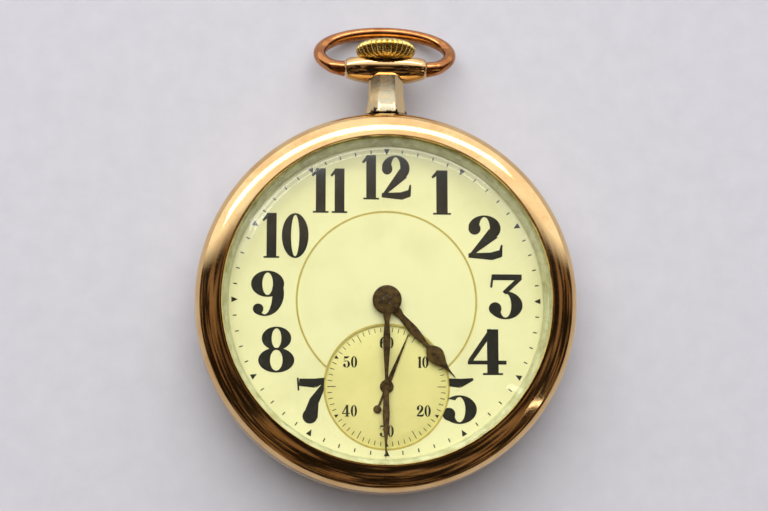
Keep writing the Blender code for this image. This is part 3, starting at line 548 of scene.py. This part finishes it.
# ---- pieces ------------------------------------------------------------------------------------
class WATCH_OT_case(bpy.types.Operator):
    """Turn the band, the back and the bezel with its sloping wall"""
    bl_idname = "watch.case"
    bl_label = "Case"

    def execute(self, context):
        gold = polished("Rolled gold case", colours().case, colours().worn)
        # The inner wall's green-grey colour is painted reflection of the dial.
        green = tarnished("Inner wall painted dial reflection", "D8D9B4", "B2AF80")
        bottom, top = BAND
        inner = 21.75
        # Band: pulled in towards both edges by a power of the distance from mid height.
        bulge = [(CASE_R - (0.55 if s > 0.5 else 0.22) * abs(1 - 2 * s) ** 2.4,
                  bottom + (top - bottom) * (1 - s)) for s in np.linspace(0, 1, 33)]
        make("case_band", [turned(bulge + [(inner, bottom), (inner, top)], 256)],
             gold, "root", ["case_centre"])
        grip_z = top - 0.28
        ridges = 240
        beads = []
        for k in range(ridges):
            r0, r1 = CASE_R - 0.5, CASE_R - 0.32
            beads.append(radial_mark((0, 0), k / ridges, r0, r1, 0.36, 0.3, grip_z - 0.16, grip_z + 0.16))
        make("grip_edge", beads, gold, "root", sharp=80)
        rim = CASE_R - 0.6
        t = np.radians(np.linspace(90, 0, 28))
        dish = np.column_stack([BACK_FLAT_R + (rim - BACK_FLAT_R) * np.sin(t), 2.9 * (1 - np.cos(t))])
        dish = [(rim, low("case_centre", Z) - 0.06)] + dish.tolist() + [(0, 0)]
        hollow = [(max(r - 0.45, 0), z + 0.45) for r, z in reversed(dish[1:])]
        make("screw_back", [turned(dish + hollow + [(rim - 0.45, dish[0][1])], 192)],
             gold, "back", ["case_back"])
        lip_r, rim_r, foot, first = 21.4, BEZEL_R + 0.15, top + 0.05, np.radians(15)
        wide = (rim_r - lip_r - 0.2) / (1 - np.sin(first))
        tall = (BEZEL_TOP - 9.4) / np.cos(first)
        swell = [(lip_r, 11.66), (lip_r + 0.02, 11.84), (lip_r + 0.09, 11.97)]
        swell += [(rim_r - wide + wide * np.sin(a), 9.4 + tall * np.cos(a))
                  for a in np.linspace(first, np.pi / 2, 40)]
        outside = [(rim_r, 9.2), (rim_r - 0.1, foot)]
        make("half_round_bezel", [turned(swell + outside + [(22.6, foot), (22.6, 11.3), (21.9, 11.45)], 256)],
             gold, "bezel", ["bezel"])
        wall = [(22.55, 10.42), (21.9, 10.44), (21.5, 10.4), (21.25, 9.95), (21.12, 9.92), (21.05, 9.76),
                (20.98, 9.72), (20.68, 9.08), (20.68, foot), (22.55, foot)]
        make("inner_wall", [turned(wall, 192)], green, "bezel")
        return {"FINISHED"}


class WATCH_OT_glass(bpy.types.Operator):
    """Blow the domed glass: a low dome that turns down more steeply near its edge"""
    bl_idname = "watch.glass"
    bl_label = "Glass"

    def execute(self, context):
        r = np.concatenate([np.linspace(0, 17.8, 24), np.linspace(18, OPENING_R - 0.08, 60)])
        # The drop is a parabola, plus a smooth bend that starts near radius 19.5.
        past = r - 19.5
        drop = 0.65 * (r / r[-1]) ** 2 + 0.25 * (past + np.sqrt(past ** 2 + 0.16))
        dome = np.column_stack([r, GLASS_TOP - drop])
        edge = [(22.38, dome[-1, 1] - 0.05), (22.42, 10.9), (22.38, 10.55)]
        inside = [(a * 0.975, b - 0.62) for a, b in dome[::-1].tolist()]
        make("domed_glass", [turned(dome.tolist() + edge + inside, 160)], glass("Mineral glass"),
             "bezel", ["crystal"])
        return {"FINISHED"}


class WATCH_OT_pendant(bpy.types.Operator):
    """Shape the pendant: a barrel head with a saddle for the crown, on an eight-sided neck"""
    bl_idname = "watch.pendant"
    bl_label = "Pendant"

    def execute(self, context):
        pale = polished("Pale gold pendant", colours().head, colours().worn, 0.06)
        # Barrel: the radius falls from its middle with the distance along X to the power 2.6.
        u = np.linspace(-1, 1, 61)
        x = HEAD_HALF * u
        radius = 1.28 + 0.82 * (1 - np.abs(u) ** 2.6)
        radius[[0, -1]] = 1.12
        x = np.concatenate([[x[0], x[0]], x, [x[-1], x[-1]]])
        radius = np.concatenate([[0.0, 0.9], radius, [0.9, 0.0]])
        t = np.linspace(0, 2 * np.pi, 72, endpoint=False)
        y = HEAD_Y + np.outer(radius, np.cos(t))
        z = STEM_Z + np.outer(radius, np.sin(t))
        wide = np.repeat(x[:, None], 72, 1)
        # Saddle: where a ball beyond the head cuts into it, its crease softened by a log of exponentials.
        saddle_r = 8.2
        reach = np.sqrt(np.clip(saddle_r ** 2 - wide ** 2 - (z - STEM_Z) ** 2, 0, None))
        limit = HEAD_Y + 0.4 + saddle_r - reach
        soft = 0.12
        y = limit - soft * np.log1p(np.exp((limit - y) / soft))
        make("pendant_head", [surface(np.stack([wide, y, z], 2), close_columns=True)],
             pale, "root", ["pendant"])
        # Neck: an octagon at each height, its corners rounded by capping the angle in one over its cosine.
        heights = np.array([25.02, 25.3, 25.45, 25.75, 26.3, 27.2, 28.4, 29.6, 30.6])
        across = np.array([3.0, 3.0, 2.82, 2.78, 2.62, 2.45, 2.35, 2.32, 2.32])
        a = np.linspace(0, 2 * np.pi, 96, endpoint=False)
        flat_side = np.abs((a + np.pi / 8) % (np.pi / 4) - np.pi / 8)
        facet = 1 / np.cos(np.minimum(flat_side, np.pi / 8 - 0.03))
        ring = np.outer(across, facet)
        points = np.stack([ring * np.cos(a), np.repeat(heights[:, None], 96, 1),
                           STEM_Z + ring * np.sin(a)], 2)
        ends = [np.repeat(points[i].mean(0)[None, None], 96, 1) for i in (0, -1)]
        points = np.concatenate([ends[0], points, ends[1]])
        make("pendant_neck", [surface(points, close_columns=True)], worn_neck("Rubbed neck"),
             "root", sharp=25)
        return {"FINISHED"}


class WATCH_OT_crown(bpy.types.Operator):
    """Cut the crown: round ridges whose depth fades to nothing at both ends"""
    bl_idname = "watch.crown"
    bl_label = "Crown"

    def execute(self, context):
        first, last = CROWN_Y
        # Profile radius less a depth times lobes: one less a power of the cosine, once for each ridge.
        s = np.array([0.0, 0.06, 0.14, 0.24, 0.35, 0.48, 0.6, 0.7, 0.8, 0.88, 0.94, 0.98, 1.0])
        r = np.array([2.0, 2.55, 3.05, 3.45, 3.75, 3.97, CROWN_R, 4.02, 3.88, 3.6, 3.15, 2.6, 2.2])
        deep = np.array([0, 0, 0.1, 0.26, 0.36, 0.4, 0.4, 0.38, 0.3, 0.2, 0.1, 0.02, 0])
        ridges = sizes().crown_ridges
        a = np.linspace(0, 2 * np.pi, ridges * 14, endpoint=False)
        lobes = 1 - np.abs(np.cos(ridges * a / 2)) ** 0.8
        ring = r[:, None] - deep[:, None] * lobes[None, :]
        y = first + (last - first) * s
        y = np.repeat(y[:, None], len(a), 1)
        points = np.stack([ring * np.cos(a), y, STEM_Z + ring * np.sin(a)], 2)
        ends = [np.repeat(points[i].mean(0)[None, None], len(a), 1) for i in (0, -1)]
        points = np.concatenate([ends[0], points, ends[1]])
        gold = polished("Ridged crown gold", colours().crown, "C29F4C", 0.2, 0.001, 1.2)
        make("winding_crown", [surface(points, close_columns=True)], gold, "crown", ["crown"], sharp=60)
        return {"FINISHED"}


class WATCH_OT_bow(bpy.types.Operator):
    """Bend the bow: an oval wire whose ends turn in through cones beside the head"""
    bl_idname = "watch.bow"
    bl_label = "Bow"

    def execute(self, context):
        # Ellipse about a point beyond the pins, cut open beside them and joined to them, then leaned
        # about the pins until its far end all but touches the ground.
        wire_r, half_x, length, middle = 0.85, 8.95, 8.6, 3.5
        half_y = length - middle
        begin = np.arcsin(-middle / half_y * 0.92)
        t = np.linspace(begin, np.pi - begin, 140)
        ring = np.column_stack([half_x * np.cos(t), middle + half_y * np.sin(t), np.zeros_like(t)])
        pin_x = np.array([4.6, 5.55, 5.56, 5.6, 5.8])
        pin = np.column_stack([pin_x, np.zeros((5, 2))])
        path = np.vstack([pin, ring, pin[::-1] * [-1, 1, 1]])
        near = np.minimum(np.arange(140), np.arange(140)[::-1])
        thick = wire_r * (1 + 0.1 * np.exp(-(near / 4.0) ** 2))
        pin_r = np.array([0.48, 0.48, 1.0, 1.12, 1.05])
        radii = np.concatenate([pin_r, thick, pin_r[::-1]])
        path = np.vstack([path[0] - [0.01, 0, 0], path, path[-1] + [0.01, 0, 0]])
        radii = np.concatenate([[0.0], radii, [0.0]])
        lean = np.arcsin((STEM_Z - wire_r - 0.05) / length)
        turn = np.array([[1, 0, 0], [0, np.cos(lean), -np.sin(lean)], [0, np.sin(lean), np.cos(lean)]])
        tube, faces = swept(path, radii)
        tube = tube @ turn + [0, HEAD_Y, STEM_Z]
        copper = polished("Coppery bow", colours().bow, "8A4E26", 0.13, 0.0015, 2.0)
        make("bow_ring", [(tube, faces)], copper, "bow", ["bow"])
        return {"FINISHED"}


class WATCH_OT_dial(bpy.types.Operator):
    """Fire the dial and the sunk seconds dial"""
    bl_idname = "watch.dial"
    bl_label = "Dial"

    def execute(self, context):
        cream = enamel("Cream enamel", colours().dial, "C2BC83")
        straw = enamel("Sunk straw enamel", colours().seconds, "B5A868", SUNK_Y)
        # Rings blended from the dial's rim to the off-centre opening, by the share s of the way in.
        t = np.linspace(0, 2 * np.pi, 256, endpoint=False)
        circle = np.stack([np.cos(t), np.sin(t)], 1)
        outer, inner = circle * DIAL_R, circle * SUNK_OPENING_R + [0, SUNK_Y]
        rows = [(0, DIAL_TOP - 0.35)] + [(s, DIAL_TOP) for s in (0.0, 0.25, 0.5, 0.75, 0.95, 0.985)]
        rows += [(0.995, DIAL_TOP - 0.03), (1, DIAL_TOP - 0.09), (1, DIAL_TOP - 0.35)]
        points = np.stack([np.column_stack([outer * (1 - s) + inner * s, np.full(256, z)]) for s, z in rows])
        make("enamel_dial", [surface(points, close_rows=True, close_columns=True)], cream, "root", ["dial"])
        sunk = [(0.4, SUNK_TOP), (4.0, SUNK_TOP), (SUNK_R - 0.1, SUNK_TOP), (SUNK_R, SUNK_TOP - 0.05),
                (SUNK_R, SUNK_TOP - 0.3), (0.4, SUNK_TOP - 0.3)]
        make("sunk_dial", [turned(sunk, 192, (0, SUNK_Y))], straw, "root", ["seconds_dial"])
        return {"FINISHED"}


class WATCH_OT_printing(bpy.types.Operator):
    """Print the numerals, the minute track, the fine rings and the seconds marks"""
    bl_idname = "watch.printing"
    bl_label = "Printing"

    def execute(self, context):
        black = ink("Black enamel ink", colours().ink)
        line = ink("Gold line", colours().gold_ink, 0.35)
        z = (DIAL_TOP + 0.002, DIAL_TOP + PRINT)
        height, radius = sizes().numeral_height, sizes().numeral_radius
        sunk = (0, SUNK_Y)
        cut_r, border_r, meet_r = (SUNK_OPENING_R + gap for gap in (0.16, 0.13, 0.25))
        hours = []
        for hour, (degrees, share) in NUMERAL_PLACES.items():
            double = hour > 9
            hours += numeral(str(hour), clock((0, 0), radius * share, degrees / 360), height, *z,
                             squeeze=0.86 if double else 1.0, hole=(np.array(sunk), cut_r))
        make("hour_numerals", hours, black, "root")
        track = []
        for k in range(60):
            at = k / 60
            r = sizes().track_radius
            if k % 5:
                track.append(radial_mark((0, 0), at, r - 0.25, r + 0.25, 0.15, 0.15, *z))
            else:
                track.append(radial_mark((0, 0), at, r - 0.45, r + 0.35, 0.04, 0.75, *z))
        make("minute_track", track, black, "root")
        meet = np.degrees(np.arccos((sizes().chapter_radius ** 2 + SUNK_Y ** 2 - meet_r ** 2)
                                    / (2 * sizes().chapter_radius * abs(SUNK_Y))))
        ring = ring_slab(sizes().chapter_radius, GOLD_LINE, *z, start=-90 + meet, end=270 - meet, count=200)
        make("chapter_ring", [ring], line, "root")
        make("seconds_border", [ring_slab(border_r, GOLD_LINE, *z, centre=sunk)], line, "root")
        low_z = (SUNK_TOP + 0.002, SUNK_TOP + PRINT)
        marks = []
        r = sizes().seconds_radius
        for k in range(60):
            length, inside, outside = (0.5, 0.04, 0.5) if k % 10 == 0 else (0.6, 0.09, 0.09)
            if k % 10 == 5:
                length = 1.1
            marks.append(radial_mark(sunk, k / 60, r - length, r, inside, outside, *low_z))
        make("seconds_marks", marks, black, "root")
        small = []
        for text, degrees in (("60", 0), ("10", 56), ("20", 123), ("30", 180), ("40", 237), ("50", 304)):
            small += numeral(text, clock(sunk, 5.75, degrees / 360), 1.5, *low_z, squeeze=0.8)
        make("seconds_numerals", small, black, "root")
        return {"FINISHED"}


def leaf(stations, z0, thick, centre, turn_degrees, across=9):
    """A hand's blade from (distance, half width) stations: a crowned strip, closed underneath."""
    stations = np.asarray(stations, float)
    fine = np.linspace(stations[0, 0], stations[-1, 0], 110)
    half = np.interp(fine, *stations.T)
    kernel = np.hanning(7) / np.hanning(7).sum()
    half = np.maximum(np.convolve(np.pad(half, 3, "edge"), kernel, "valid"), 0.03)
    t = np.linspace(-1, 1, across)
    top = np.stack([half[:, None] * t, np.repeat(fine[:, None], across, 1),
                    z0 + thick * (0.45 + 0.55 * np.sqrt(1 - 0.98 * t ** 2)) + 0 * fine[:, None]], 2)
    bottom = top[:, ::-1].copy()
    bottom[:, :, 2] = z0
    points = np.concatenate([top, bottom], 1)
    ends = [np.repeat(points[i].mean(0)[None, None], 2 * across, 1) for i in (0, -1)]
    points = np.concatenate([ends[0], points, ends[1]])
    a = -np.radians(turn_degrees)
    turn = np.array([[np.cos(a), np.sin(a), 0], [-np.sin(a), np.cos(a), 0], [0, 0, 1]])
    return surface(points @ turn + [*centre, 0], close_columns=True)


def hub(radius, z0, z1, centre):
    """A hand's round boss with a softened edge."""
    profile = [(0, z1), (radius * 0.82, z1), (radius * 0.95, z1 - 0.04), (radius, z1 - 0.12),
               (radius, z0), (0, z0)]
    return turned(profile, 64, centre)


class WATCH_OT_hands(bpy.types.Operator):
    """Shape the hour, minute and seconds hands"""
    bl_idname = "watch.hands"
    bl_label = "Hands"

    def execute(self, context):
        steel = rusted("Rusted blued steel")
        hour_z, minute_z = low("hour_hand", Z), low("minute_hand", Z)
        spade = [(0, 0.5), (2.2, 0.62), (2.9, 0.4), (4.2, 0.52), (5.2, 0.62), (6.4, 0.5), (7.6, 0.3),
                 (8.2, 0.3), (8.6, 0.75), (9.2, 1.1), (9.8, 1.15), (10.5, 0.85), (11.3, 0.4),
                 (12.2, 0.16), (13.5, 0.04)]
        make("hour_spade", [leaf(spade, hour_z, HAND_THICK, (0, 0), 138.6),
                            hub(1.88, hour_z, hour_z + HAND_THICK, (0, 0))], steel, "hour", ["hour_hand"])
        lance = [(0, 0.4), (2.2, 0.5), (2.9, 0.28), (4.2, 0.42), (5.6, 0.5), (7.2, 0.38), (10.2, 0.2),
                 (12.8, 0.36), (15.0, 0.47), (16.8, 0.34), (18.6, 0.14), (20.6, 0.03)]
        top = minute_z + HAND_THICK
        make("minute_lance", [leaf(lance, minute_z, HAND_THICK, (0, 0), 180.5),
                              hub(1.9, minute_z, top, (0, 0)),
                              hub(0.62, top - 0.01, top + 0.06, (0, 0))], steel, "minute", ["minute_hand"])
        z = low("seconds_hand", Z)
        centre = np.array([0, SUNK_Y])
        needle = [(-2.75, 0.13), (-1.0, 0.18), (0, 0.28), (1.2, 0.3), (4.5, 0.16), (7.5, 0.04)]
        tail = clock(centre, -3.2, 22.5 / 360)
        make("seconds_needle", [leaf(needle, z, 0.12, centre, 22.5), hub(0.9, z, z + 0.14, centre),
                                hub(0.53, z, z + 0.12, tail)], steel, "seconds", ["seconds_hand"])
        return {"FINISHED"}


class WATCH_OT_movement(bpy.types.Operator):
    """Finish the movement's own pieces: brass wheels, nickel bridges, steel arbors and screws"""
    bl_idname = "watch.movement"
    bl_label = "Movement"

    def execute(self, context):
        finishes = {
            "brass": polished("Gilt brass", "C9A458", "8C6A2E", 0.3, 0.003, 1.5),
            "nickel": striped_nickel("Damaskeened nickel"),
            "steel": polished("Polished steel", "C4C4C6", "77777A", 0.22, 0.003, 2.0),
            "hand_steel": polished("Blued steel", "2E3A6B", "171C36", 0.25, 0.003, 1.0),
        }
        slots = {part["node"]: part["material_slot"] for part in frame["record"]["subparts"]}
        for name, obj in frame["nodes"].items():
            if slots[name] in finishes:
                obj.data.materials.clear()
                obj.data.materials.append(finishes[slots[name]])
        return {"FINISHED"}


# ---- stage -------------------------------------------------------------------------------------
def sky():
    """A room: bright beyond the crown, dim and brown overhead and on the near side."""
    world = bpy.data.worlds.new("Bright room")
    bpy.context.scene.world = world
    world.use_nodes = True
    tree = world.node_tree
    place = add(tree, "ShaderNodeTexCoord").outputs["Generated"]
    far = add(tree, "ShaderNodeSeparateXYZ", None, {"Vector": place}).outputs["Y"]
    stretched = add(tree, "ShaderNodeMapping", None, {
        "Vector": place, "Scale": (1.0, 1.0, 3.0)}).outputs["Vector"]
    clutter = add(tree, "ShaderNodeTexNoise", None, {
        "Vector": stretched, "Scale": 4.0, "Detail": 3.0}).outputs["Fac"]
    room = blend_colours(tree, ramp(tree, clutter, 0.0, 1.0, 0.5, 0.62), "1A1511", "7A6450")
    colour = blend_colours(tree, ramp(tree, far, 0.0, 1.0, 0.27, 0.42), room, "F6F7FC")
    tree.links.new(colour, tree.nodes["Background"].inputs["Color"])
    tree.nodes["Background"].inputs["Strength"].default_value = 1.45


def lamp(name, size, power, place, mirrored=True):
    """A soft rectangular light aimed at the watch; unless mirrored, glass and metal don't show it."""
    light = bpy.data.lights.new(name, "AREA")
    light.shape = "RECTANGLE"
    light.size, light.size_y = size
    light.energy = power
    obj = bpy.data.objects.new(name, light)
    obj.location = place
    obj.rotation_euler = (-Vector(place)).to_track_quat("-Z", "Y").to_euler()
    obj.visible_glossy = mirrored
    bpy.context.scene.collection.objects.link(obj)


class WATCH_OT_stage(bpy.types.Operator):
    """Lay the card, hang the lights and set up the camera"""
    bl_idname = "watch.stage"
    bl_label = "Stage"

    def execute(self, context):
        context.scene.view_settings.view_transform = "Standard"
        half = 1.5
        mesh = bpy.data.meshes.new("card")
        corners = [(-half, -half, 0), (half, -half, 0), (half, half, 0), (-half, half, 0)]
        mesh.from_pydata(corners, [], [(0, 1, 2, 3)])
        floor = bpy.data.objects.new("card", mesh)
        mesh.materials.append(card("Pale card", colours().floor))
        floor.location.z = -0.00005
        context.scene.collection.objects.link(floor)
        sky()
        lamp("window", (1.0, 0.12), 1.8, (-0.06, 0.46, 0.4))
        lamp("overhead", (0.9, 0.9), 7.4, (-0.05, 0.25, 0.75), mirrored=False)
        lamp("doorway", (0.02, 0.35), 0.06, (0.5, -0.25, 0.3))
        camera = bpy.data.cameras.new("camera")
        camera.lens, camera.sensor_width = 73, 36
        camera.clip_start, camera.clip_end = 0.001, 10
        eye = bpy.data.objects.new("camera", camera)
        aim = Vector((-0.0002, 0.0064, 0.006))
        lean_x, lean_y = np.tan(np.radians(3.3)), np.tan(np.radians(9.0))
        away = Vector((-lean_x, -lean_y, 1)).normalized()
        distance = 0.208
        eye.location = aim + away * distance
        right = Vector((0, 1, 0)).cross(away).normalized()
        eye.rotation_euler = Matrix((right, away.cross(right), away)).transposed().to_euler()
        context.scene.collection.objects.link(eye)
        context.scene.camera = eye
        return {"FINISHED"}


OPERATORS = (WATCH_OT_stage, WATCH_OT_case, WATCH_OT_glass, WATCH_OT_pendant, WATCH_OT_crown, WATCH_OT_bow,
             WATCH_OT_dial, WATCH_OT_printing, WATCH_OT_hands, WATCH_OT_movement)


class WATCH_PT_panel(bpy.types.Panel):
    """Lists the watch's pieces in the 3D view's sidebar"""
    bl_label = "Pocket watch"
    bl_idname = "WATCH_PT_panel"
    bl_space_type = "VIEW_3D"
    bl_region_type = "UI"
    bl_category = "Watch"

    def draw(self, context):
        for group in (context.scene.watch_sizes, context.scene.watch_colours):
            for name in group.__annotations__:
                self.layout.prop(group, name)
        for operator in OPERATORS:
            self.layout.operator(operator.bl_idname)


CLASSES = (WatchSizes, WatchColours, *OPERATORS, WATCH_PT_panel)


def register():
    """Add the classes and hang the two groups of settings on the scene."""
    for item in CLASSES:
        bpy.utils.register_class(item)
    bpy.types.Scene.watch_sizes = bpy.props.PointerProperty(type=WatchSizes)
    bpy.types.Scene.watch_colours = bpy.props.PointerProperty(type=WatchColours)


def unregister():
    """Undo what register did, in the opposite order."""
    del bpy.types.Scene.watch_colours
    del bpy.types.Scene.watch_sizes
    for item in reversed(CLASSES):
        bpy.utils.unregister_class(item)


def main():
    """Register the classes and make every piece."""
    register()
    for operator in OPERATORS:
        family, name = operator.bl_idname.split(".")
        getattr(getattr(bpy.ops, family), name)()


if __name__ == "__main__":
    main()
